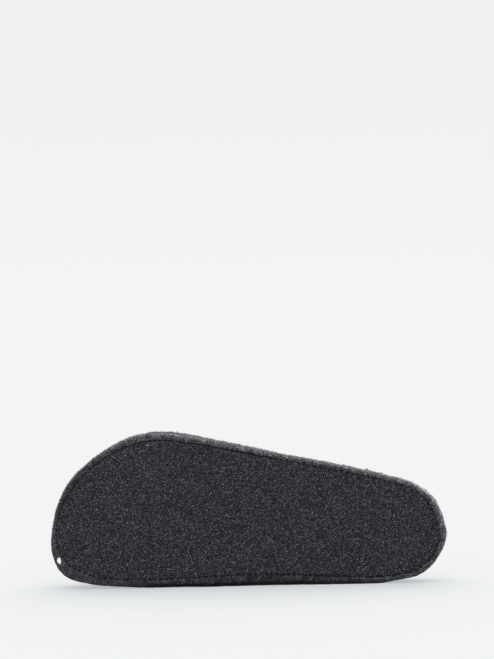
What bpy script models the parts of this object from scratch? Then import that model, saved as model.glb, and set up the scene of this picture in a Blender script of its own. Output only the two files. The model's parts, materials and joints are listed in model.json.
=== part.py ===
"""A left felt slipper with a closed toe, a low heel rim and a flat felt sole.

Each piece is modelled standing on its tread: toe towards -X, top towards +Z and the outer
side of the foot towards -Y. The last step lays the whole slipper on its inner side.
Along is measured from the toe end of the tread, across from the floor that it lies on.
"""

import bmesh
import bpy
import math
import numpy as np
from mathutils import Vector

MM = 0.001

# Driving sizes, in metres
TREAD_LENGTH = 0.2635
BALL_WIDTH = 0.0955
TREAD_ABOVE_FLOOR = 0.0055
INSTEP_HEIGHT = 0.068
HEEL_RIM_HEIGHT = 0.025
TOE_SPRING = 0.006
TOE_SPRING_LENGTH = 0.071
OUTSOLE_THICKNESS = 0.005
OUTSOLE_EDGE_ROUND = 0.0012
RAND_WIDTH = 0.0055
RAND_HEIGHT = 0.015
RAND_ABOVE_TREAD = 0.0006
FELT_WALL = 0.0035
INSOLE_THICKNESS = 0.006
HEEL_CUP_DEPTH = 0.004
ARCH_RISE = 0.005
SEAM_CLEARANCE = 0.0003
SEAM_GAP_LENGTH = 0.0058
SEAM_GAP_WIDTH = 0.0030
SEAM_GAP_FROM_TOE = 0.0046
SEAM_GAP_FLARE = 1.1
SEAM_GAP_ACROSS_BAND = 0.54
SEAM_GAP_SLANT = 0.20

# Shares that shape the upper and the insole
WIDEST_LEVEL = 0.42
FLANK_CURVE = 0.15
CROWN_ROUNDNESS = 0.92
CROWN_SMOOTHING = 6
HEEL_CUP_START = 0.55
HEEL_CUP_DEEPEST = 0.90
ARCH_MIDDLE = 0.56
ARCH_SPREAD = 0.15

# How finely the surfaces are cut
RUNGS = 48
FLANK_ROWS = 5
VAMP_ROWS = 9
INSOLE_STRIPS = 8
CURVE_STEPS = 40

# Outline of the tread from the toe, along the outer side to the heel and back along the inner side.
# Along is a share of the tread length and across a share of the ball width. Band is how far the
# rand stands out, as a share of its width. Flare is the same for the flank of the upper.
OUTLINE_COLUMNS = ("along", "across", "band", "flare")
OUTLINE = (
    (0.000, 0.345, 0.66, 0.30),
    (0.044, 0.660, 0.86, 0.45),
    (0.114, 0.842, 0.86, 0.60),
    (0.198, 0.960, 1.04, 0.95),
    (0.275, 1.000, 0.90, 0.80),
    (0.345, 0.980, 0.80, 0.66),
    (0.484, 0.902, 0.82, 0.35),
    (0.613, 0.828, 0.68, 0.30),
    (0.732, 0.755, 0.76, 0.25),
    (0.853, 0.677, 0.72, 0.20),
    (0.941, 0.586, 0.76, 0.20),
    (0.979, 0.430, 1.06, 0.20),
    (0.996, 0.260, 0.92, 0.20),
    (0.983, 0.162, 0.80, 0.20),
    (0.944, 0.052, 0.88, 0.25),
    (0.880, 0.004, 0.82, 0.40),
    (0.780, 0.001, 1.08, 0.40),
    (0.622, 0.022, 1.24, 0.40),
    (0.520, 0.033, 1.42, 0.50),
    (0.400, 0.018, 1.28, 0.90),
    (0.276, 0.008, 1.22, 1.22),
    (0.164, 0.012, 1.04, 1.00),
    (0.085, 0.043, 1.22, 0.50),
    (0.034, 0.117, 1.64, 0.20),
    (0.008, 0.211, 1.14, 0.20),
)

# The ridge of the last, from the toe to the heel. Along is a share of the tread length, height a
# share of the instep height and across a share of the ball width.
RIDGE_COLUMNS = ("along", "height", "across")
RIDGE = (
    (0.14, 0.56, 0.40),
    (0.21, 0.59, 0.43),
    (0.30, 0.73, 0.45),
    (0.42, 1.00, 0.45),
    (0.55, 1.12, 0.43),
    (0.72, 1.20, 0.40),
    (0.86, 1.22, 0.35),
)

# The collar seen from the side, from above the throat to behind the heel. Along is a share of the
# tread length and drop runs from 1 at the instep height to 0 at the heel rim.
COLLAR_COLUMNS = ("along", "drop")
COLLAR = (
    (0.400, 1.60),
    (0.415, 1.00),
    (0.452, 0.56),
    (0.520, 0.20),
    (0.620, 0.02),
    (0.760, -0.04),
    (0.900, -0.02),
    (1.060, 0.03),
)

# Cross-section of the rand: out is a share of the band, up a share of the rand's height
RAND_PROFILE = (
    (0.00, 0.00),
    (0.55, 0.00),
    (0.86, 0.07),
    (0.98, 0.24),
    (1.00, 0.48),
    (0.96, 0.74),
    (0.80, 0.94),
    (0.50, 1.00),
    (0.00, 1.00),
)

# The small gap in the rand, seen from below: straight towards the heel, slanting towards the toe.
# Aside and up are shares of half its width and half its length.
SEAM_GAP_SHAPE = (
    (1.00, -1.00),
    (1.00, 0.00),
    (0.90, 0.75),
    (0.30, 1.00),
    (-0.45, 0.80),
    (-1.00, 0.25),
    (-0.85, -0.15),
    (-0.10, -0.60),
    (0.70, -1.00),
)

FELT_DARK = (0.032, 0.033, 0.039)
FELT_EDGE = (0.048, 0.049, 0.056)
FELT_UPPER = (0.040, 0.041, 0.048)
FELT_INSIDE = (0.055, 0.056, 0.062)


def column(table, names, name):
    return np.array([row[names.index(name)] for row in table], dtype=float)


def smooth_curve(points, steps, closed):
    """Points on a smooth curve through every given point, in chord-length time."""
    points = np.asarray(points, dtype=float)
    if closed:
        points = np.vstack((points[-1:], points, points[:2]))
    else:
        points = np.vstack((2 * points[0] - points[1], points, 2 * points[-1] - points[-2]))
    spans = np.linalg.norm(np.diff(points[:, :2], axis=0), axis=1)
    curve = []
    for i in range(1, len(points) - 2):
        before, span, after = spans[i - 1], spans[i], spans[i + 1]
        chord = points[i + 1] - points[i]
        start = (points[i] - points[i - 1]) / before * span + chord - (points[i + 1] - points[i - 1]) * (
            span / (before + span))
        end = (points[i + 2] - points[i + 1]) / after * span + chord - (points[i + 2] - points[i]) * (
            span / (span + after))
        for share in np.arange(steps) / steps:
            square = share * share
            cube = square * share
            curve.append((2 * cube - 3 * square + 1) * points[i] + (cube - 2 * square + share) * start
                         + (3 * square - 2 * cube) * points[i + 1] + (cube - square) * end)
    if not closed:
        curve.append(points[-2])
    return np.array(curve)


def tread_outline():
    """The tread's edge as columns, one side of the foot after the other.

    The columns lie on rungs: the toe point, the outer points to the heel point, then the inner
    points back. Rung i of both sides has the same place along, so flat rungs join them.
    """
    table = np.column_stack((
        column(OUTLINE, OUTLINE_COLUMNS, "along") * TREAD_LENGTH,
        column(OUTLINE, OUTLINE_COLUMNS, "across") * BALL_WIDTH + TREAD_ABOVE_FLOOR,
        column(OUTLINE, OUTLINE_COLUMNS, "band") * RAND_WIDTH,
        column(OUTLINE, OUTLINE_COLUMNS, "flare") * RAND_WIDTH,
    ))
    curve = smooth_curve(table, CURVE_STEPS, closed=True)
    ahead = np.roll(curve[:, :2], -1, axis=0) - np.roll(curve[:, :2], 1, axis=0)
    ahead /= np.linalg.norm(ahead, axis=1)[:, None]
    curve = np.column_stack((curve, -ahead[:, 1], ahead[:, 0]))
    curve = np.roll(curve, -int(np.argmin(curve[:, 0])), axis=0)
    heel = int(np.argmax(curve[:, 0]))
    outer = curve[:heel + 1]
    inner = np.vstack((curve[heel:], curve[:1]))[::-1]
    toe_along, heel_along = curve[0, 0], curve[heel, 0]
    turns = np.pi * np.arange(RUNGS + 1) / RUNGS
    along = toe_along + (heel_along - toe_along) * (1 - np.cos(turns)) / 2
    sides = []
    for side in (outer, inner):
        values = [np.interp(along, side[:, 0], side[:, k]) for k in range(side.shape[1])]
        sides.append(np.column_stack(values))
    columns = np.vstack((sides[0], sides[1][-2:0:-1]))
    out = columns[:, 4:6]
    out /= np.linalg.norm(out, axis=1)[:, None]
    rungs = list(range(RUNGS + 1)) + list(range(RUNGS - 1, 0, -1))
    return {"at": columns[:, :2], "band": columns[:, 2], "flare": columns[:, 3], "out": out, "rung": rungs}


EDGE = tread_outline()
COLUMNS = len(EDGE["rung"])


def toe_lift(along):
    """How far the toe spring lifts the shoe at a place along it."""
    ahead = np.clip(1 - np.asarray(along) / TOE_SPRING_LENGTH, 0, None)
    return TOE_SPRING * ahead ** 2


def edge_ring(out, up):
    """A ring round the shoe, out from the tread's edge by a distance and up by a height."""
    at = EDGE["at"] + EDGE["out"] * np.broadcast_to(out, COLUMNS)[:, None]
    heights = np.broadcast_to(up, COLUMNS) + toe_lift(EDGE["at"][:, 0])
    return [(x, max(y, 0.0), z) for (x, y), z in zip(at, heights)]


def stand(point):
    """From along, across and up to the standing frame, whose outer side faces -Y."""
    along, across, up = point
    return Vector((along, -across, up))


def add_ring(mesh, points):
    return [mesh.verts.new(stand(point)) for point in points]


def join_rings(mesh, lower, upper):
    for i in range(len(lower)):
        after = (i + 1) % len(lower)
        mesh.faces.new((lower[i], lower[after], upper[after], upper[i]))


def join_rungs(mesh, ring):
    """Closes a ring round the shoe with one flat face between each two rungs."""
    last = len(ring)
    mesh.faces.new((ring[0], ring[1], ring[last - 1]))
    for i in range(1, RUNGS - 1):
        mesh.faces.new((ring[i], ring[i + 1], ring[last - i - 1], ring[last - i]))
    mesh.faces.new((ring[RUNGS - 1], ring[RUNGS], ring[RUNGS + 1]))


def felt(name, colour, roughness):
    material = bpy.data.materials.new(name)
    material.use_nodes = True
    shader = material.node_tree.nodes["Principled BSDF"]
    shader.inputs["Base Color"].default_value = (*colour, 1.0)
    shader.inputs["Roughness"].default_value = roughness
    shader.inputs["Metallic"].default_value = 0.0
    return material


def add_object(name, mesh, material, smooth_angle=40):
    bmesh.ops.recalc_face_normals(mesh, faces=mesh.faces)
    data = bpy.data.meshes.new(name)
    mesh.to_mesh(data)
    mesh.free()
    data.shade_smooth()
    data.set_sharp_from_angle(angle=math.radians(smooth_angle))
    piece = bpy.data.objects.new(name, data)
    bpy.context.collection.objects.link(piece)
    if material:
        data.materials.append(material)
    return piece


def add_cutter(name, mesh):
    cutter = add_object(name, mesh, None)
    cutter.hide_render = True
    cutter.display_type = "WIRE"
    return cutter


def make_outsole():
    """A felt plate cut to the seam line, with its lower and upper edges rounded off."""
    mesh = bmesh.new()
    rings = [
        add_ring(mesh, edge_ring(-OUTSOLE_EDGE_ROUND, 0.0)),
        add_ring(mesh, edge_ring(0.0, OUTSOLE_EDGE_ROUND)),
        add_ring(mesh, edge_ring(0.0, OUTSOLE_THICKNESS)),
    ]
    for lower, upper in zip(rings, rings[1:]):
        join_rings(mesh, lower, upper)
    join_rungs(mesh, rings[0])
    join_rungs(mesh, rings[-1])
    return add_object("outsole", mesh, felt("outsole felt", FELT_DARK, 0.95))


def make_rand():
    """The edge band: one closed profile carried round the seam line."""
    mesh = bmesh.new()
    height = RAND_HEIGHT - RAND_ABOVE_TREAD
    rings = []
    for out, up in RAND_PROFILE:
        reach = SEAM_CLEARANCE + out * (EDGE["band"] - SEAM_CLEARANCE)
        rings.append(add_ring(mesh, edge_ring(reach, RAND_ABOVE_TREAD + up * height)))
    for lower, upper in zip(rings, rings[1:] + rings[:1]):
        join_rings(mesh, lower, upper)
    rand = add_object("rand", mesh, felt("rand felt", FELT_EDGE, 0.9))
    cut = rand.modifiers.new("seam gap", "BOOLEAN")
    cut.operation = "DIFFERENCE"
    cut.solver = "EXACT"
    cut.object = seam_gap_cutter()
    return rand


def seam_gap_cutter():
    """The small gap in the band at the inner toe corner, wider towards the upper."""
    inner = [0] + list(range(COLUMNS - 1, RUNGS, -1))
    along = EDGE["at"][inner, 0]

    def on_edge(values):
        return np.interp(SEAM_GAP_FROM_TOE, along, values[inner])

    edge = np.array([on_edge(EDGE["at"][:, k]) for k in (0, 1)])
    outwards = np.array([on_edge(EDGE["out"][:, k]) for k in (0, 1)]) * on_edge(EDGE["band"])
    middle = edge + outwards * SEAM_GAP_ACROSS_BAND
    slant = outwards * SEAM_GAP_SLANT
    lift = float(toe_lift(SEAM_GAP_FROM_TOE))
    mesh = bmesh.new()
    rings = []
    for share in (-0.5, 1.5):
        centre = middle + slant * share
        size = 1 + (SEAM_GAP_FLARE - 1) * share
        rings.append(add_ring(mesh, [(
            centre[0] + aside * SEAM_GAP_WIDTH / 2 * size,
            centre[1] + up * SEAM_GAP_LENGTH / 2 * size,
            lift + share * RAND_HEIGHT) for aside, up in SEAM_GAP_SHAPE]))
    join_rings(mesh, rings[0], rings[1])
    mesh.faces.new(rings[0])
    mesh.faces.new(rings[1])
    return add_cutter("seam gap cutter", mesh)


def ridge_point(rung):
    """A point of the last's ridge for a rung, as along, across and up."""
    places = column(RIDGE, RIDGE_COLUMNS, "along")
    share = places[0] + (places[-1] - places[0]) * EDGE["at"][rung, 0] / TREAD_LENGTH
    table = np.column_stack((places, column(RIDGE, RIDGE_COLUMNS, "height"),
                             column(RIDGE, RIDGE_COLUMNS, "across")))
    curve = smooth_curve(table, CURVE_STEPS, closed=False)
    height = np.interp(share, curve[:, 0], curve[:, 1]) * INSTEP_HEIGHT
    across = np.interp(share, curve[:, 0], curve[:, 2]) * BALL_WIDTH + TREAD_ABOVE_FLOOR
    return np.array((share * TREAD_LENGTH, across, height))


def flank_rings():
    """Rings of the upper's side: straight up behind the rand, then out to the widest level."""
    base = OUTSOLE_THICKNESS + SEAM_CLEARANCE
    straight = RAND_HEIGHT + 2 * SEAM_CLEARANCE
    rings = [edge_ring(0.0, base), edge_ring(0.0, (base + straight) / 2), edge_ring(0.0, straight)]
    widest = widest_level()
    for row in range(1, FLANK_ROWS + 1):
        turn = row / FLANK_ROWS
        out = EDGE["flare"] * np.sin(turn * math.pi / 2)
        up = straight + (widest - straight) * (turn + FLANK_CURVE * (turn ** 2 - turn))
        rings.append(edge_ring(out, up))
    return rings


def widest_level():
    """Height of the widest part of the last above the tread, for each column."""
    tops = np.array([ridge_point(rung)[2] for rung in EDGE["rung"]])
    return RAND_HEIGHT + (np.minimum(tops, INSTEP_HEIGHT) - RAND_HEIGHT) * WIDEST_LEVEL


def make_upper():
    """One hollow wall over the last, cut open at the collar and left open underneath."""
    mesh = bmesh.new()
    rings = [add_ring(mesh, ring) for ring in flank_rings()]
    widest = [np.array(tuple(point)) for point in flank_rings()[-1]]
    tops = [ridge_point(min(max(rung, 1), RUNGS - 1)) for rung in EDGE["rung"]]
    for row in range(1, VAMP_ROWS):
        turn = row / VAMP_ROWS * math.pi / 2
        inwards = 1 - math.cos(turn) ** CROWN_ROUNDNESS
        upwards = math.sin(turn) ** CROWN_ROUNDNESS
        points = []
        for start, top in zip(widest, tops):
            plan = start[:2] + (top[:2] - start[:2]) * inwards
            points.append((plan[0], plan[1], start[2] + (top[2] - start[2]) * upwards))
        rings.append(add_ring(mesh, points))
    for lower, upper in zip(rings, rings[1:]):
        join_rings(mesh, lower, upper)
    ridge = {rung: mesh.verts.new(stand(ridge_point(rung))) for rung in range(1, RUNGS)}
    top_ring = rings[-1]
    for i in range(COLUMNS):
        after = (i + 1) % COLUMNS
        here = ridge[min(max(EDGE["rung"][i], 1), RUNGS - 1)]
        there = ridge[min(max(EDGE["rung"][after], 1), RUNGS - 1)]
        if here is there:
            mesh.faces.new((top_ring[i], top_ring[after], here))
        else:
            mesh.faces.new((top_ring[i], top_ring[after], there, here))
    crown = [vert for ring in rings[-VAMP_ROWS + 2:] for vert in ring] + list(ridge.values())
    for _ in range(CROWN_SMOOTHING):
        bmesh.ops.smooth_vert(
            mesh, verts=crown, factor=0.5, use_axis_x=True, use_axis_y=True, use_axis_z=True)
    upper = add_object("upper", mesh, felt("upper felt", FELT_UPPER, 0.92))
    wall = upper.modifiers.new("felt wall", "SOLIDIFY")
    wall.thickness = FELT_WALL
    wall.offset = -1.0
    wall.use_even_offset = True
    cut = upper.modifiers.new("collar", "BOOLEAN")
    cut.operation = "DIFFERENCE"
    cut.solver = "EXACT"
    cut.object = collar_cutter()
    return upper


def collar_cutter():
    """What the collar leaves open: the side view of the foot opening, carried right across."""
    along = column(COLLAR, COLLAR_COLUMNS, "along") * TREAD_LENGTH
    drop = column(COLLAR, COLLAR_COLUMNS, "drop")
    up = HEEL_RIM_HEIGHT + drop * (INSTEP_HEIGHT - HEEL_RIM_HEIGHT)
    curve = smooth_curve(np.column_stack((along, up)), 8, closed=False)
    top = 2 * INSTEP_HEIGHT
    outline = [(curve[0, 0], top)] + [tuple(point) for point in curve] + [(curve[-1, 0], top)]
    mesh = bmesh.new()
    sides = []
    for across in (-BALL_WIDTH, 2 * BALL_WIDTH):
        sides.append([mesh.verts.new(stand((x, across, z))) for x, z in outline])
    join_rings(mesh, sides[0], sides[1])
    mesh.faces.new(sides[0])
    mesh.faces.new(sides[1])
    return add_cutter("collar cutter", mesh)


def insole_height(along, share):
    """Top of the insole above the tread: a heel cup, an arch on the inner side, a flat forefoot.

    Share runs from 0 at the inner edge to 1 at the outer edge.
    """
    place = along / TREAD_LENGTH
    side = (2 * share - 1) ** 2
    heel = np.clip((place - HEEL_CUP_START) / (HEEL_CUP_DEEPEST - HEEL_CUP_START), 0, 1)
    cup = HEEL_CUP_DEPTH * side * heel * heel * (3 - 2 * heel)
    arch = ARCH_RISE * math.exp(-((place - ARCH_MIDDLE) / ARCH_SPREAD) ** 2) * (1 - share) ** 2
    return OUTSOLE_THICKNESS + SEAM_CLEARANCE + INSOLE_THICKNESS + cup + arch


def make_insole():
    """The footbed: flat below, shaped on top, a close fit inside the wall of the upper."""
    mesh = bmesh.new()
    inset = -(FELT_WALL + SEAM_CLEARANCE)
    low = edge_ring(inset, OUTSOLE_THICKNESS + SEAM_CLEARANCE)
    last = COLUMNS
    bottom = add_ring(mesh, low)
    join_rungs(mesh, bottom)

    def top_vertex(along, across, share):
        return mesh.verts.new(stand((along, across, insole_height(along, share) + toe_lift(along))))

    strips = [[top_vertex(low[0][0], low[0][1], 0.5)]]
    for i in range(1, RUNGS):
        outer, inner = np.array(low[i]), np.array(low[last - i])
        strip = []
        for k in range(INSOLE_STRIPS + 1):
            share = k / INSOLE_STRIPS
            along, across = (inner + (outer - inner) * share)[:2]
            strip.append(top_vertex(along, across, share))
        strips.append(strip)
    strips.append([top_vertex(low[RUNGS][0], low[RUNGS][1], 0.5)])
    for here, there in zip(strips, strips[1:]):
        for k in range(INSOLE_STRIPS):
            if len(here) == 1:
                mesh.faces.new((here[0], there[k], there[k + 1]))
            elif len(there) == 1:
                mesh.faces.new((here[k], there[0], here[k + 1]))
            else:
                mesh.faces.new((here[k], there[k], there[k + 1], here[k + 1]))
    rim = [strips[0][0]] + [strip[-1] for strip in strips[1:-1]] + [strips[-1][0]]
    rim += [strip[0] for strip in strips[-2:0:-1]]
    join_rings(mesh, bottom, rim)
    return add_object("insole", mesh, felt("insole felt", FELT_INSIDE, 0.95))


def lay_on_side(pieces):
    """Turns the standing slipper onto its inner side, centred over the floor."""
    shoe = bpy.data.objects.new("slipper", None)
    bpy.context.collection.objects.link(shoe)
    for piece in pieces:
        piece.parent = shoe
    for cutter in [item for item in bpy.data.objects if item.hide_render]:
        cutter.parent = shoe
    shoe.rotation_euler = (math.radians(-90), 0, 0)
    bpy.context.view_layer.update()
    seen = bpy.context.evaluated_depsgraph_get()
    corners = []
    for piece in pieces:
        model = piece.evaluated_get(seen)
        corners += [tuple(model.matrix_world @ Vector(corner)) for corner in model.bound_box]
    low, high = np.min(corners, axis=0), np.max(corners, axis=0)
    middle = (low + high) / 2
    shoe.location = (-middle[0], -middle[1], -low[2])


def main():
    for item in list(bpy.data.objects):
        bpy.data.objects.remove(item, do_unlink=True)
    lay_on_side([make_outsole(), make_rand(), make_upper(), make_insole()])


main()
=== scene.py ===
# Left felt slipper lying on its inner side, toe at -X and tread towards the camera.
import bpy
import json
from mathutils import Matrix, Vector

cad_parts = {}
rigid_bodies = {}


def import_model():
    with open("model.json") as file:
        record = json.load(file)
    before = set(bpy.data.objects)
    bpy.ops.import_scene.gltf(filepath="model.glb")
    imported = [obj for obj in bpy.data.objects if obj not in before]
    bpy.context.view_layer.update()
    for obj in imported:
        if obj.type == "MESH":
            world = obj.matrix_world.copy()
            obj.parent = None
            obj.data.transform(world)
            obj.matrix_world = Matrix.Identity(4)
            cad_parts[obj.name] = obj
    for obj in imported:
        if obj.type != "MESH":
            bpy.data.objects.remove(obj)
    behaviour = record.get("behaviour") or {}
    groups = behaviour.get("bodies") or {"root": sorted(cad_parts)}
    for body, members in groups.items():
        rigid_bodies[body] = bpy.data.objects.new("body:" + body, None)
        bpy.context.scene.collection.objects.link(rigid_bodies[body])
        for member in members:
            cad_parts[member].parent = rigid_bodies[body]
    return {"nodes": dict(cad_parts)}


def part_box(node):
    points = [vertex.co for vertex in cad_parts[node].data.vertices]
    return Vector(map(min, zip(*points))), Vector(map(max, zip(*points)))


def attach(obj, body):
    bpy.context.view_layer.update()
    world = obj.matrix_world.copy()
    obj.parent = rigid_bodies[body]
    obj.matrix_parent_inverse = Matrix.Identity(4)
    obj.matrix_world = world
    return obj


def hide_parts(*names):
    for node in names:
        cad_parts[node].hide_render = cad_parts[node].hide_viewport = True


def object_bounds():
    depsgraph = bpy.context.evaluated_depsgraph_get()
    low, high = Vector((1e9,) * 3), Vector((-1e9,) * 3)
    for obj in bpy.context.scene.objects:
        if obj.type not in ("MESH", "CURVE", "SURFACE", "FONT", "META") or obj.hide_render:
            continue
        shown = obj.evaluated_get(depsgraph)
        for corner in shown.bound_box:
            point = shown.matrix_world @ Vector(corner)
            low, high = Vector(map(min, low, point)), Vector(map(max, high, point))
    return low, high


for startupObject in list(bpy.data.objects):
    bpy.data.objects.remove(startupObject, do_unlink=True)
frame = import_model()

import json
import math
import bmesh
import numpy as np
from mathutils import kdtree

cadLow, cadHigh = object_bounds()
scene = bpy.context.scene
millimetre = 0.001
treadLow, treadHigh = [np.array(corner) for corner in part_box("outsole")]
treadLevel = float(treadLow[1])  # Y of the flat sole face
floorClearance = 0.00005
paintedLightAndToneLayer = "feltPaintedLightAndTone"         # colour layer with painted light and shade on the felt, and the felt's own tone


def addObject(name, data):
    added = bpy.data.objects.new(name, data)
    scene.collection.objects.link(added)
    return added


def newMaterial(name):
    material = bpy.data.materials.new(name)
    material.use_nodes = True
    return material, material.node_tree.nodes["Principled BSDF"]


def setInputs(node, values):
    for socket, value in values.items():
        node.inputs[socket].default_value = value


# Studio: camera, floor and light

cameraSetup = {
    "distance": 1.40,           # from the sole face
    "frameHeight": 0.4504,      # height of the picture at the sole face
    "aside": 0.00205,
    "height": 0.1756,
    "roll": 1.22,               # degrees, as the photograph is tilted
    "sensor": 36.0,
    "clip": (0.05, 200.0),
}
studio = {
    "worldColour": (0.897, 0.914, 0.906),
    "worldFall": (0.02, 0.12, 1.0, 0.965),  # between these heights of view it falls from 1 to 0.965
    "worldStrength": 1.0,
    "sunStrength": 3.4,
    "sunSpread": 100,           # degrees, a very large softbox
    "sunTilt": (-26, 0),        # degrees from overhead, from behind the shoe
    "floorColour": (0.2603, 0.2496, 0.2320),
    "floorGlow": (0.420, 0.450, 0.485),     # lit from below, as a shooting table is
    "floorReach": 60.0,
}


def makeCamera(setup):
    cameraData = bpy.data.cameras.new("studioCamera")
    cameraData.sensor_width = setup["sensor"]
    cameraData.lens = setup["sensor"] * setup["distance"] / setup["frameHeight"]
    cameraData.clip_start, cameraData.clip_end = setup["clip"]
    camera = addObject("studioCamera", cameraData)
    camera.location = (setup["aside"], treadLevel - setup["distance"], setup["height"])
    camera.rotation_euler = (math.radians(90), math.radians(setup["roll"]), 0)
    scene.camera = camera


def makeFloor(setup):
    reach = setup["floorReach"]
    mesh = bpy.data.meshes.new("studioFloor")
    corners = [(-reach, -reach, 0), (reach, -reach, 0), (reach, reach, 0), (-reach, reach, 0)]
    mesh.from_pydata(corners, [], [(0, 1, 2, 3)])
    floor = addObject("studioFloor", mesh)
    material, shader = newMaterial("studioFloorPaper")
    setInputs(shader, {
        "Base Color": (*setup["floorColour"], 1), "Roughness": 1.0, "Specular IOR Level": 0.0,
        "Emission Color": (*setup["floorGlow"], 1), "Emission Strength": 1.0})
    mesh.materials.append(material)


def makeWorld(setup):
    world = bpy.data.worlds.new("studioWorld")
    world.use_nodes = True
    nodes, links = world.node_tree.nodes, world.node_tree.links
    upwards = nodes.new("ShaderNodeSeparateXYZ")
    links.new(nodes.new("ShaderNodeTexCoord").outputs["Generated"], upwards.inputs[0])
    fall = nodes.new("ShaderNodeMapRange")
    setInputs(fall, dict(zip(("From Min", "From Max", "To Min", "To Max"), setup["worldFall"])))
    links.new(upwards.outputs["Z"], fall.inputs["Value"])
    tint = nodes.new("ShaderNodeMix")
    tint.data_type = "RGBA"
    tint.blend_type = "MULTIPLY"
    setInputs(tint, {"Factor": 1.0, "A": (*setup["worldColour"], 1)})
    links.new(fall.outputs["Result"], tint.inputs["B"])
    links.new(tint.outputs["Result"], nodes["Background"].inputs["Color"])
    nodes["Background"].inputs["Strength"].default_value = setup["worldStrength"]
    scene.world = world


def makeSun(setup):
    sunData = bpy.data.lights.new("softOverhead", "SUN")
    sunData.energy = setup["sunStrength"]
    sunData.angle = math.radians(setup["sunSpread"])
    sun = addObject("softOverhead", sunData)
    sun.rotation_euler = [math.radians(angle) for angle in (*setup["sunTilt"], 0)]


makeCamera(cameraSetup)
makeFloor(studio)
makeWorld(studio)
makeSun(studio)
scene.view_settings.view_transform = "Standard"
scene.view_settings.look = "None"
print("stage: camera, floor and light")


# Mesh helpers

weldDistance = 0.000002


def weldedCopy(nodeName, pieceName):
    mesh = frame["nodes"][nodeName].data.copy()
    work = bmesh.new()
    work.from_mesh(mesh)
    bmesh.ops.remove_doubles(work, verts=work.verts, dist=weldDistance)
    work.to_mesh(mesh)
    work.free()
    mesh.materials.clear()
    return addObject(pieceName, mesh)


def settle(piece):
    # replace the mesh with what its modifiers make of it
    graph = bpy.context.evaluated_depsgraph_get()
    mesh = bpy.data.meshes.new_from_object(piece.evaluated_get(graph))
    piece.modifiers.clear()
    piece.data = mesh


def readVectors(items, field):
    flat = np.empty(len(items) * 3)
    items.foreach_get(field, flat)
    return flat.reshape(-1, 3)


def readPoints(mesh):
    return readVectors(mesh.vertices, "co")


def readNormals(mesh):
    return readVectors(mesh.vertex_normals, "vector")


def writePoints(mesh, points):
    points[:, 2] = np.maximum(points[:, 2], floorClearance)
    mesh.vertices.foreach_set("co", points.ravel())
    mesh.update()


def smoothStep(values, low, high):
    share = np.clip((values - low) / (high - low), 0, 1)
    return share * share * (3 - 2 * share)


def bell(values, width):
    return np.exp(-(values / width) ** 2)


def alongShoe(points):
    return points[:, 0] - cadLow[0]


def writePaintedLightAndTone(mesh, shade):
    # painted light and shade, and the felt's own tone, at each point
    colours = np.ones((len(mesh.vertices), 4))
    colours[:, :3] = np.asarray(shade).reshape(len(mesh.vertices), -1)
    layer = mesh.color_attributes.new(paintedLightAndToneLayer, "FLOAT_COLOR", "POINT")
    layer.data.foreach_set("color", colours.ravel())


# The seam line, where the outsole meets the rand

seamStep = 0.5 * millimetre


def findSeam():
    # the CAD outsole's upright wall has points one above the other all the way round
    columns = {}
    for x, y, z in readPoints(frame["nodes"]["outsole"].data):
        columns.setdefault((round(x, 5), round(z, 5)), set()).add(round(y, 5))
    wall = np.array([(x, min(levels), z) for (x, z), levels in columns.items() if len(levels) > 1])
    middle = (treadLow + treadHigh) / 2
    turns = np.arctan2(wall[:, 2] - middle[2], wall[:, 0] - middle[0])
    return wall[np.argsort(turns)]


def resample(loop, step):
    closed = np.vstack((loop, loop[:1]))
    travelled = np.concatenate(([0], np.cumsum(np.linalg.norm(np.diff(closed, axis=0), axis=1))))
    count = int(travelled[-1] / step)
    stops = np.arange(count) * travelled[-1] / count
    return np.column_stack([np.interp(stops, travelled, closed[:, axis]) for axis in range(3)])


seamLine = resample(findSeam(), seamStep)
seamTree = kdtree.KDTree(len(seamLine))
for seamIndex, seamPoint in enumerate(seamLine):
    seamTree.insert((seamPoint[0], 0, seamPoint[2]), seamIndex)
seamTree.balance()
print("stage: seam line,", len(seamLine), "points")


def seamDistance(points):
    # seen from below, and how far above the seam line's own level each point is
    found = [seamTree.find((x, 0, z)) for x, y, z in points]
    distance = np.array([hit[2] for hit in found])
    level = seamLine[[hit[1] for hit in found], 1]
    return distance, points[:, 1] - level


# From the toe to the waist on the outer side the seam stays open as a crisp line
seamOpening = {"height": (0.055, 0.070), "along": (0.140, 0.190)}
seamDepth = 3 * millimetre      # how deep behind the seam line its shaping reaches
# the heel's upper corner is fuller than the plain solid, and the band is narrower on the toe's slope
edgeMoves = (
    {"at": (0.130, 0.057), "width": 0.0095, "reach": 0.050, "push": (0.0010, 0.0, 0.0009)},
    {"at": (-0.0899, 0.0938), "width": 0.030, "reach": 0.003, "push": (-0.00043, 0.0, 0.00079)},
)


def seamShut(points):
    high = smoothStep(points[:, 2], *seamOpening["height"])
    front = 1 - smoothStep(alongShoe(points), *seamOpening["along"])
    return 1 - high * front


def nearTread(above):
    return smoothStep(-above, -seamDepth, 0)


def moveEdge(points, distance):
    moved = np.zeros(points.shape)
    for move in edgeMoves:
        away = np.hypot(points[:, 0] - move["at"][0], points[:, 2] - move["at"][1])
        share = bell(away, move["width"]) * bell(distance, move["reach"])
        moved += share[:, None] * np.array(move["push"])
    return moved


# Felt materials

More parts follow.
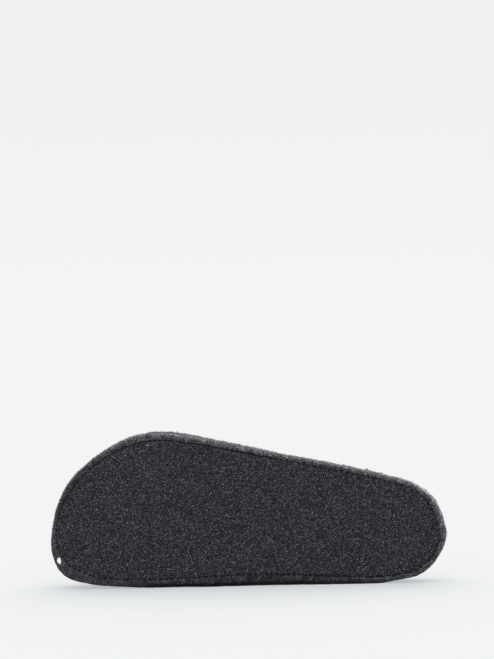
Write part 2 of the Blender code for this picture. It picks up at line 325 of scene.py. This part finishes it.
def feltMaterial(name, look):
    material, shader = newMaterial(name)
    nodes, links = material.node_tree.nodes, material.node_tree.links
    place = nodes.new("ShaderNodeTexCoord").outputs["Object"]

    def noise(scale, roughness):
        node = nodes.new("ShaderNodeTexNoise")
        setInputs(node, {"Scale": scale, "Detail": look["noiseDetail"], "Roughness": roughness})
        links.new(place, node.inputs["Vector"])
        return node.outputs["Fac"]

    def ramp(value, stops):
        node = nodes.new("ShaderNodeValToRGB")
        elements = node.color_ramp.elements
        while len(elements) < len(stops):
            elements.new(0.5)
        for element, (position, shade) in zip(elements, stops):
            element.position = position
            colour = shade if isinstance(shade, tuple) else (shade, shade, shade)
            element.color = (*colour, 1)
        links.new(value, node.inputs["Fac"])
        return node.outputs["Color"]

    def multiply(first, second):
        node = nodes.new("ShaderNodeMix")
        node.data_type = "RGBA"
        node.blend_type = "MULTIPLY"
        node.inputs["Factor"].default_value = 1.0
        links.new(first, node.inputs["A"])
        links.new(second, node.inputs["B"])
        return node.outputs["Result"]

    tufts = nodes.new("ShaderNodeTexVoronoi")
    tufts.inputs["Scale"].default_value = look["tuftScale"]
    links.new(place, tufts.inputs["Vector"])
    channel = nodes.new("ShaderNodeSeparateColor")
    links.new(tufts.outputs["Color"], channel.inputs["Color"])
    shade = nodes.new("ShaderNodeVertexColor")
    shade.layer_name = paintedLightAndToneLayer

    tones = list(zip(look["mottleStops"], (look["cool"], look["warm"])))
    colour = ramp(noise(look["mottleScale"], look["noiseRoughness"]), tones)
    colour = multiply(colour, ramp(channel.outputs["Red"], look["grain"]))
    colour = multiply(colour, ramp(noise(look["clumpScale"], look["noiseRoughness"]), look["clumps"]))
    # the colour layer multiplies in painted light and shade, and the felt's own tone
    colour = multiply(colour, shade.outputs["Color"])
    links.new(colour, shader.inputs["Base Color"])

    # each tuft is highest at its middle, with finer nap over it
    relief = nodes.new("ShaderNodeMath")
    relief.operation = "MULTIPLY_ADD"
    relief.inputs[1].default_value = -1.0
    links.new(tufts.outputs["Distance"], relief.inputs[0])
    links.new(noise(look["tuftScale"] * look["napScale"], look["napRoughness"]), relief.inputs[2])
    bump = nodes.new("ShaderNodeBump")
    setInputs(bump, {"Strength": look["bump"], "Distance": look["bumpHeight"]})
    links.new(relief.outputs[0], bump.inputs["Height"])
    links.new(bump.outputs["Normal"], shader.inputs["Normal"])
    setInputs(shader, {
        "Roughness": look["roughness"], "Specular IOR Level": look["specular"],
        "Sheen Weight": look["sheen"], "Sheen Roughness": look["sheenRoughness"],
        "Sheen Tint": (*look["sheenTint"], 1)})
    return material


def makeFibreMaterial():
    material, shader = newMaterial("looseFibres")
    shade = material.node_tree.nodes.new("ShaderNodeVertexColor")
    shade.layer_name = paintedLightAndToneLayer
    material.node_tree.links.new(shade.outputs["Color"], shader.inputs["Base Color"])
    setInputs(shader, {"Roughness": 0.9, "Specular IOR Level": 0.2})
    return material


fibreMaterial = makeFibreMaterial()

charcoal = {
    "mottleScale": 70.0, "mottleStops": (0.35, 0.65),
    "cool": (0.0369, 0.0381, 0.0463), "warm": (0.0422, 0.0389, 0.0471),
    "tuftScale": 2500.0,
    "grain": ((0.0, 0.03), (0.55, 0.64), (0.90, 1.36), (1.0, 6.4)),
    "clumpScale": 260.0, "clumps": ((0.32, 0.93), (0.68, 1.07)),
    "noiseDetail": 3, "noiseRoughness": 0.6,
    "napScale": 0.4, "napRoughness": 0.7,       # the nap's scale is a share of the tufts'
    "bump": 0.6, "bumpHeight": 0.0004,
    "roughness": 0.95, "specular": 0.08,
    "sheen": 0.06, "sheenRoughness": 0.6, "sheenTint": (0.80, 0.84, 0.92),
}
edgeGrey = dict(
    charcoal, cool=(0.049, 0.049, 0.0565), warm=(0.055, 0.0515, 0.0575),
    grain=((0.0, 0.20), (0.6, 0.72), (0.9, 1.4), (1.0, 4.4)),
    clumps=((0.30, 0.45), (0.70, 1.75)), sheen=0.10)
upperGrey = dict(charcoal, cool=(0.031, 0.033, 0.038), warm=(0.036, 0.035, 0.039), sheen=0.10)
insideGrey = dict(charcoal, cool=(0.037, 0.039, 0.044), warm=(0.043, 0.042, 0.046), sheen=0.08)


# Felt skins over the CAD forms, and loose fibres on them

fibreForm = {"bend": 0.2, "tipRise": 0.6, "ringStart": 0.5}     # shares of the length, and radians


def evenFluff(points, normals):
    return np.ones(len(points))


def feltSkin(setup):
    # even cells over the CAD form, its own shaping, soft lumps, then small pills
    piece = weldedCopy(setup["node"], setup["name"])
    cells = piece.modifiers.new("evenCells", "REMESH")
    cells.mode = "VOXEL"
    cells.voxel_size = setup["cell"]
    soften = piece.modifiers.new("soften", "SMOOTH")
    soften.iterations = setup["softening"]
    soften.factor = 0.5
    settle(piece)
    points, normals = readPoints(piece.data), readNormals(piece.data)
    shade = setup["shade"](points, normals)
    writePoints(piece.data, setup["shape"](points, normals))
    fluff = piece.vertex_groups.new(name="fluff")
    for index, weight in enumerate(setup["fluff"](points, normals)):
        fluff.add([index], weight, "REPLACE")
    for label in ("lumps", "pills"):
        size, height = setup[label]
        texture = bpy.data.textures.new(setup["name"] + label, "CLOUDS")
        texture.noise_scale = size
        texture.noise_depth = 2
        relief = piece.modifiers.new(label, "DISPLACE")
        relief.texture = texture
        relief.texture_coords = "LOCAL"
        relief.strength = height
        relief.vertex_group = "fluff"
        relief.mid_level = 0.5
    settle(piece)
    writePoints(piece.data, readPoints(piece.data))
    writePaintedLightAndTone(piece.data, shade)
    piece.data.shade_smooth()
    piece.data.materials.append(feltMaterial(setup["name"], setup["look"]))
    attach(piece, "root")
    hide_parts(setup["node"])
    print("stage:", setup["name"], len(piece.data.polygons), "faces")
    return piece


def addFibres(name, mesh, shade):
    writePaintedLightAndTone(mesh, shade)
    mesh.materials.append(fibreMaterial)
    fibres = addObject(name, mesh)
    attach(fibres, "root")
    print("stage:", name, len(mesh.polygons), "triangles")


def fuzz(piece, setup):
    # short bent fibres scattered over a skin, lying almost flat
    dice = np.random.default_rng(setup["seed"])
    mesh = piece.data
    mesh.calc_loop_triangles()
    corners = np.empty(len(mesh.loop_triangles) * 3, dtype=np.int64)
    mesh.loop_triangles.foreach_get("vertices", corners)
    places = readPoints(mesh)[corners.reshape(-1, 3)]
    across = np.cross(places[:, 1] - places[:, 0], places[:, 2] - places[:, 0])
    doubledArea = np.linalg.norm(across, axis=1)
    normals = across / np.maximum(doubledArea, 1e-15)[:, None]
    odds = doubledArea * np.clip(normals @ np.array(setup["facing"]) + setup["allRound"], 0, None)
    count = setup["count"]
    picked = dice.choice(len(places), count, p=odds / odds.sum())
    first, second = dice.random((2, count))
    folded = first + second > 1
    first, second = np.where(folded, 1 - first, first), np.where(folded, 1 - second, second)
    chosen, up = places[picked], normals[picked]
    root = chosen[:, 0] + (chosen[:, 1] - chosen[:, 0]) * first[:, None]
    root += (chosen[:, 2] - chosen[:, 0]) * second[:, None]
    heading = dice.normal(size=(count, 3))
    heading -= up * np.sum(heading * up, axis=1)[:, None]
    heading /= np.linalg.norm(heading, axis=1)[:, None]
    rise = dice.uniform(*setup["rise"], count)[:, None]
    length = dice.uniform(*setup["length"], count)[:, None]
    aside = np.cross(heading, up)
    middle = root + (heading * (1 - rise) + up * rise) * length * 0.5
    middle += aside * dice.uniform(-fibreForm["bend"], fibreForm["bend"], count)[:, None] * length
    tip = root + (heading * (1 - rise) + up * rise * fibreForm["tipRise"]) * length
    radius = setup["radius"]
    ring = [middle + (aside * math.cos(turn) + up * math.sin(turn)) * radius
            for turn in fibreForm["ringStart"] + np.arange(3) * 2 * math.pi / 3]
    points = np.stack((root - up * radius, *ring, tip), axis=1).reshape(-1, 3)
    sides = np.array([(0, 2, 1), (0, 3, 2), (0, 1, 3), (4, 1, 2), (4, 2, 3), (4, 3, 1)])
    faces = (np.arange(count)[:, None, None] * 5 + sides).reshape(-1, 3)
    tuft = bpy.data.meshes.new(setup["name"])
    tuft.from_pydata(points.tolist(), [], faces.tolist())
    writePoints(tuft, points)
    shade = dice.uniform(*setup["shades"], count) ** 2
    addFibres(setup["name"], tuft, np.repeat(shade, 5))


# Outsole: the speckled felt plate, turned in along the seam

# the last two give painted shade: the felt is painted darker along the seam groove
outsoleShaping = {
    "grooveWidth": 0.8 * millimetre, "grooveDepth": 0.2 * millimetre,
    "closeWidth": 1.3 * millimetre, "close": 0.75 * millimetre,
    "grooveShadeWidth": 0.6 * millimetre, "paintedGrooveShade": 0.15,
}


def shapeOutsole(points, normals):
    distance, above = seamDistance(points)
    low, shut = nearTread(above), seamShut(points)
    shaped = points + moveEdge(points, distance)
    groove = outsoleShaping["grooveDepth"] * bell(distance, outsoleShaping["grooveWidth"])
    shaped[:, 1] += groove * low * (1 - shut)
    close = outsoleShaping["close"] * bell(distance, outsoleShaping["closeWidth"]) * low * shut
    return shaped + normals * close[:, None]


# painted shade in the seam groove
def paintOutsoleGrooveShade(points, normals):
    distance, above = seamDistance(points)
    return 1 - outsoleShaping["paintedGrooveShade"] * bell(distance, outsoleShaping["grooveShadeWidth"])


outsoleFelt = {
    "node": "outsole", "name": "outsoleFelt", "cell": 0.0008, "softening": 3,
    "lumps": (0.010, 0.0004), "pills": (0.0016, 0.0004), "look": charcoal,
    "shape": shapeOutsole, "shade": paintOutsoleGrooveShade, "fluff": evenFluff,
}
outsoleFuzz = {
    "name": "outsoleFuzz", "slot": "outsole", "seed": 3, "count": 4500,
    "facing": (0, -1, 0), "allRound": 0.0, "length": (0.0006, 0.0015), "radius": 0.00008,
    "rise": (0.05, 0.35), "shades": (0.12, 0.60),
}
outsole = feltSkin(outsoleFelt)
fuzz(outsole, outsoleFuzz)


# Rand: the edge band, fluffy above and smooth where it lies on the floor, with painted light on its
# upper side and painted shadow along the floor

randShaping = {
    "lipWidth": 0.6 * millimetre, "lipDepth": 0.1 * millimetre,
    "closeWidth": 1.2 * millimetre, "close": 0.45 * millimetre,
    "archFrom": (-0.045, -0.029), "archTo": (0.084, 0.100),     # X where the sag begins and ends
    "archSag": 1.1 * millimetre, "archHeight": (0.002, 0.010),
    "fluffHeight": (0.015, 0.06), "fluffLeast": 0.3,
}
# painted light and shade on the rand: lighter on the upper side, the heel end and the heel's band,
# darker on the under side, the waist, the toe, near the seam and along the floor; only the tufts are
# the felt's own random tone
randLightShadeAndTufts = {
    "outerSide": 1.75, "innerSide": 0.79, "backMost": 1.15, "nearSeam": 0.55, "paintedGrooveShade": 0.10,
    "heelEnd": 2.2, "outerHeel": 1.25, "innerHeel": 1.35, "waist": 0.58,
    "toeSlope": 0.66, "toeTip": 0.70, "toeEnd": 0.45,
    "tufts": (0.40, 1.80), "contactShadow": 0.12, "contactShadowHeight": 2.6 * millimetre,
    # painted shadow: the strip just above the floor is painted almost black from the ball to the waist
    "stripHeight": (2.0 * millimetre, 4.0 * millimetre),
    "stripAlong": (0.030, 0.060, 0.072, 0.172, 0.185, 0.225, 0.250),
    "stripShadow": (0.0, 0.40, 1.0, 1.0, 0.60, 0.50, 0.0),
}
# where that painted light and shade lie: parts of the normal, heights and metres from the toe
randZones = {
    "facing": (-0.5, 0.8), "height": (0.01, 0.07),
    "heelFacing": (0.2, 0.8), "heelAlong": (0.20, 0.26),
    "outerHeelAlong": (0.19, 0.24), "innerHeelAlong": (0.195, 0.215),
    "waistAt": 0.155, "waistReach": 0.050,
    "toeHeight": (0.04, 0.07), "toeSlopeAlong": (0.055, 0.085), "toeTipAlong": (0.026, 0.036),
    "toeFacing": (0.3, 0.8), "toeEndAt": 0.033, "toeEndReach": 0.006,
    "backDepth": (5 * millimetre, 10 * millimetre),
    "innerReach": (0.8 * millimetre, 4 * millimetre), "innerHeight": (0.02, 0.05),
}


def sunkHeight(points):
    # height above the floor once the inner edge has sagged onto it along the arch
    arch = smoothStep(points[:, 0], *randShaping["archFrom"])
    arch *= 1 - smoothStep(points[:, 0], *randShaping["archTo"])
    lowest = 1 - smoothStep(points[:, 2], *randShaping["archHeight"])
    return points[:, 2] - randShaping["archSag"] * arch * lowest


def shapeRand(points, normals):
    distance, above = seamDistance(points)
    low = nearTread(above)
    shaped = points + moveEdge(points, distance)
    shaped[:, 1] += randShaping["lipDepth"] * bell(distance, randShaping["lipWidth"]) * low
    shaped[:, 2] += sunkHeight(points) - points[:, 2]
    close = randShaping["close"] * bell(distance, randShaping["closeWidth"]) * low * seamShut(points)
    return shaped + normals * close[:, None]


# painted light and shade over the rand, with the felt's random tufts
def paintRandLightShadeAndTufts(points, normals):
    zones, along, level = randZones, alongShoe(points), points[:, 2]
    distance, above = seamDistance(points)
    facing = smoothStep(normals[:, 2], *zones["facing"])
    height = smoothStep(level, *zones["height"])
    toeHeight = smoothStep(level, *zones["toeHeight"])
    toeFacing = smoothStep(-normals[:, 0], *zones["toeFacing"])
    heelFacing = smoothStep(normals[:, 0], *zones["heelFacing"])
    parts = {
        "heelEnd": heelFacing * smoothStep(along, *zones["heelAlong"]),
        "outerHeel": smoothStep(along, *zones["outerHeelAlong"]) * height,
        "innerHeel": smoothStep(along, *zones["innerHeelAlong"]) * (1 - height),
        "waist": bell(along - zones["waistAt"], zones["waistReach"]) * (1 - height),
        "toeSlope": toeHeight * (1 - smoothStep(along, *zones["toeSlopeAlong"])),
        "toeTip": toeHeight * (1 - smoothStep(along, *zones["toeTipAlong"])),
        "toeEnd": toeFacing * bell(level - zones["toeEndAt"], zones["toeEndReach"]),
    }
    # painted highlight where the band faces up and stands high, painted shade where it faces down
    rise = randLightShadeAndTufts["outerSide"] - randLightShadeAndTufts["innerSide"]
    side = randLightShadeAndTufts["innerSide"] + rise * (facing + height) / 2
    for part, share in parts.items():
        side *= 1 + (randLightShadeAndTufts[part] - 1) * share
    # parts behind the seam level keep only a little of the painted highlight
    back = smoothStep(above, *zones["backDepth"])
    side = side * (1 - back) + np.minimum(side, randLightShadeAndTufts["backMost"]) * back

    # painted shade in the seam groove and on the band beside the seam, then random tufts of lighter
    # and darker felt high up
    line = 1 - randLightShadeAndTufts["paintedGrooveShade"] * bell(distance, randShaping["lipWidth"])
    inner = (1 - smoothStep(distance, *zones["innerReach"])) * seamShut(points)
    inner *= smoothStep(level, *zones["innerHeight"])
    line *= 1 - (1 - randLightShadeAndTufts["nearSeam"]) * inner
    tufts = np.random.default_rng(11).uniform(*randLightShadeAndTufts["tufts"], len(points))
    line *= 1 + (tufts - 1) * height

    # painted shadow where the rand lies on the floor, deepest in a strip from the ball to the waist
    floorGap = sunkHeight(points)
    contactShadow = smoothStep(floorGap, 0, randLightShadeAndTufts["contactShadowHeight"])
    contactShadow = randLightShadeAndTufts["contactShadow"] + (1 - randLightShadeAndTufts["contactShadow"]) * contactShadow
    strip = np.interp(along, randLightShadeAndTufts["stripAlong"], randLightShadeAndTufts["stripShadow"])
    contactShadow *= 1 - strip * (1 - smoothStep(floorGap, *randLightShadeAndTufts["stripHeight"]))
    return side * line * contactShadow


def fluffRand(points, normals):
    least = randShaping["fluffLeast"]
    return least + (1 - least) * smoothStep(points[:, 2], *randShaping["fluffHeight"])


randFelt = {
    "node": "rand", "name": "randFelt", "cell": 0.00065, "softening": 3,
    "lumps": (0.006, 0.0012), "pills": (0.0022, 0.0009), "look": edgeGrey,
    "shape": shapeRand, "shade": paintRandLightShadeAndTufts, "fluff": fluffRand,
}
randFuzz = {
    "name": "randFuzz", "slot": "rand", "seed": 5, "count": 5200,
    "facing": (0, -0.3, 1.0), "allRound": 0.15, "length": (0.0012, 0.0030), "radius": 0.00009,
    "rise": (0.10, 0.60), "shades": (0.12, 0.66),
}
rand = feltSkin(randFelt)
fuzz(rand, randFuzz)


# Seam: a dashed row of dark stitches, sunk where the seam is open and raised where it is shut

seamStitches = {
    "pitch": 3.8 * millimetre, "length": 2.1 * millimetre, "width": 0.68 * millimetre,
    "sunk": 0.10 * millimetre, "raised": 1.15 * millimetre,
    "sizes": (0.7, 1.2), "shift": 0.4, "stray": 0.45 * millimetre, "strayOut": (-1.0, 0.4),
    "sides": 6, "shade": 0.003, "innerSideHeight": 0.03, "outerSize": 0.85,
}


def makeStitches(setup):
    dice = np.random.default_rng(7)
    path = resample(seamLine, setup["pitch"])
    shut = seamShut(path)
    path += moveEdge(path, np.zeros(len(path)))
    ahead = np.roll(path, -1, axis=0) - np.roll(path, 1, axis=0)
    ahead /= np.linalg.norm(ahead, axis=1)[:, None]
    work = bmesh.new()
    for place, along, closed in zip(path, ahead, shut):
        size = 1.0 if place[2] < setup["innerSideHeight"] else setup["outerSize"]
        size *= dice.uniform(*setup["sizes"])
        out = np.cross(along, (0, 1, 0))
        depth = setup["sunk"] * (1 - closed) - setup["raised"] * closed
        centre = place + np.array((0, depth, 0))
        centre += along * dice.uniform(-setup["shift"], setup["shift"]) * millimetre
        centre += out * dice.uniform(*setup["strayOut"]) * setup["stray"] * closed
        tips = [work.verts.new(centre + along * setup["length"] / 2 * size * way) for way in (-1, 1)]
        ring = []
        for turn in np.arange(setup["sides"]) * 2 * math.pi / setup["sides"]:
            spoke = out * math.cos(turn) + np.array((0, 1, 0)) * math.sin(turn)
            ring.append(work.verts.new(centre + spoke * setup["width"] * size))
        for side in range(setup["sides"]):
            work.faces.new((ring[side], ring[side - 1], tips[0]))
            work.faces.new((ring[side - 1], ring[side], tips[1]))
    bmesh.ops.recalc_face_normals(work, faces=work.faces)
    mesh = bpy.data.meshes.new("seamStitches")
    work.to_mesh(mesh)
    work.free()
    addFibres("seamStitches", mesh, np.full(len(mesh.vertices), setup["shade"]))


makeStitches(seamStitches)


# Upper: creased at the ball, bulging a little over the rand on the outer side

# the side and floor values give painted light and shade: lighter where the upper faces up, darker
# where it faces down and where it lies on the floor
upperShaping = {
    "bulgeFrom": (0.060, 0.072), "bulgeTo": (0.1035, 0.106),    # metres from the toe
    "bulge": 0.0003, "bulgeFacing": (0.3, 0.8),
    "creaseFacing": (0.15, 0.6),
    "outerSide": 1.5, "innerSide": 0.9, "sideFacing": (-0.3, 0.9),
    "contactShadow": 0.35, "contactShadowHeight": 0.003,
}
# along and across in metres from the toe and the floor, on the top of the vamp
vampCreases = (
    {"start": (0.056, 0.026), "end": (0.066, 0.082), "width": 0.0045, "depth": 0.0012},
    {"start": (0.064, 0.028), "end": (0.074, 0.080), "width": 0.0050, "depth": -0.0008},
    {"start": (0.072, 0.022), "end": (0.083, 0.088), "width": 0.0050, "depth": 0.0014},
    {"start": (0.092, 0.034), "end": (0.097, 0.070), "width": 0.0060, "depth": 0.0008},
)


def nearSegment(places, start, end):
    # distance from a straight crease, and how much of it is left towards its ends
    start, end = np.array(start), np.array(end)
    run = end - start
    share = np.clip(((places - start) @ run) / (run @ run), 0, 1)
    return np.linalg.norm(places - start - share[:, None] * run, axis=1), np.sin(np.pi * share) ** 0.5


def shapeUpper(points, normals):
    along = alongShoe(points)
    shaped = points.copy()
    places = np.column_stack((along, points[:, 2]))
    onTop = smoothStep(normals[:, 1], *upperShaping["creaseFacing"])
    for crease in vampCreases:
        distance, fade = nearSegment(places, crease["start"], crease["end"])
        depth = crease["depth"] * bell(distance, crease["width"]) * fade * onTop
        shaped -= normals * depth[:, None]
    window = smoothStep(along, *upperShaping["bulgeFrom"])
    window *= 1 - smoothStep(along, *upperShaping["bulgeTo"])
    outwards = smoothStep(normals[:, 2], *upperShaping["bulgeFacing"])
    shaped[:, 2] += upperShaping["bulge"] * window * outwards
    return shaped


# painted highlight on the upward side, painted shade on the lower side and painted shadow along the
# floor
def paintUpperLightAndShade(points, normals):
    facing = smoothStep(normals[:, 2], *upperShaping["sideFacing"])
    side = upperShaping["innerSide"] + (upperShaping["outerSide"] - upperShaping["innerSide"]) * facing
    contactShadow = smoothStep(points[:, 2], 0, upperShaping["contactShadowHeight"])
    return side * (upperShaping["contactShadow"] + (1 - upperShaping["contactShadow"]) * contactShadow)


upperFelt = {
    "node": "upper", "name": "upperFelt", "cell": 0.0010, "softening": 8,
    "lumps": (0.012, 0.0012), "pills": (0.0020, 0.0005), "look": upperGrey,
    "shape": shapeUpper, "shade": paintUpperLightAndShade, "fluff": evenFluff,
}
upperFuzz = {
    "name": "upperFuzz", "slot": "upper", "seed": 8, "count": 5500,
    "facing": (0, 0.3, 0.6), "allRound": 0.4, "length": (0.0014, 0.0034), "radius": 0.00008,
    "rise": (0.10, 0.60), "shades": (0.20, 0.42),
}
upper = feltSkin(upperFelt)
fuzz(upper, upperFuzz)


# Insole: pressed felt, a little worn under the heel and the ball

# along and across in metres from the toe and the floor
wornPrints = (
    {"at": (0.225, 0.036), "size": (0.024, 0.020)},
    {"at": (0.080, 0.052), "size": (0.024, 0.028)},
)
wornShade = 0.18


def keepShape(points, normals):
    return points.copy()


def shadeInsole(points, normals):
    worn = np.zeros(len(points))
    for area in wornPrints:
        across = bell(points[:, 2] - area["at"][1], area["size"][1])
        worn = np.maximum(worn, bell(alongShoe(points) - area["at"][0], area["size"][0]) * across)
    return 1 - wornShade * worn


insoleFelt = {
    "node": "insole", "name": "insoleFelt", "cell": 0.0011, "softening": 4,
    "lumps": (0.014, 0.0006), "pills": (0.0020, 0.0004), "look": insideGrey,
    "shape": keepShape, "shade": shadeInsole, "fluff": evenFluff,
}
insoleFuzz = {
    "name": "insoleFuzz", "slot": "insole", "seed": 9, "count": 2500,
    "facing": (0, 1, 0), "allRound": 0.0, "length": (0.0012, 0.0028), "radius": 0.00008,
    "rise": (0.05, 0.40), "shades": (0.20, 0.45),
}
insole = feltSkin(insoleFelt)
fuzz(insole, insoleFuzz)


# Strays: a light fibre and a brown speck on the sole, a dark tuft on the outer edge

strays = (
    {"on": outsole, "at": (-0.0673, treadLevel, 0.0978), "count": 1, "spread": 0.0, "turn": 0.0,
     "heading": (0.87, 0, -0.5), "length": 0.0036, "radius": 0.00026, "colour": (0.34, 0.35, 0.38)},
    {"on": outsole, "at": (-0.1078, treadLevel, 0.0251), "count": 3, "spread": 0.0004, "turn": 0.10,
     "heading": (0.3, 0, 1.0), "length": 0.0009, "radius": 0.00030, "colour": (0.11, 0.065, 0.045)},
    {"on": rand, "at": (0.0826, -0.0262, 0.0790), "count": 14, "spread": 0.0006, "turn": 0.15,
     "heading": (-0.4, 0, 0.9), "length": 0.0022, "radius": 0.00024, "colour": (0.020, 0.020, 0.024)},
)


def makeStrays(groups):
    dice = np.random.default_rng(21)
    points, faces, colours = [], [], []
    for group in groups:
        for _ in range(group["count"]):
            target = np.array(group["at"]) + dice.normal(size=3) * group["spread"]
            _, place, normal, _ = group["on"].closest_point_on_mesh(target.tolist())
            place, normal = np.array(place), np.array(normal)
            heading = np.array(group["heading"]) + dice.normal(size=3) * group["turn"]
            heading /= np.linalg.norm(heading)
            aside = np.cross(heading, normal)
            start = len(points)
            middle = place + normal * group["radius"] * 2.0
            points.append(middle - heading * group["length"] / 2)
            for turn in np.arange(4) * math.pi / 2:
                spoke = aside * math.cos(turn) + normal * math.sin(turn)
                points.append(middle + spoke * group["radius"])
            points.append(middle + heading * group["length"] / 2)
            for side in range(4):
                here, there = start + 1 + side, start + 1 + (side + 1) % 4
                faces += [(start, there, here), (start + 5, here, there)]
            colours += [group["colour"]] * 6
    mesh = bpy.data.meshes.new("strayFibres")
    mesh.from_pydata([tuple(point) for point in points], [], faces)
    addFibres("strayFibres", mesh, colours)


makeStrays(strays)
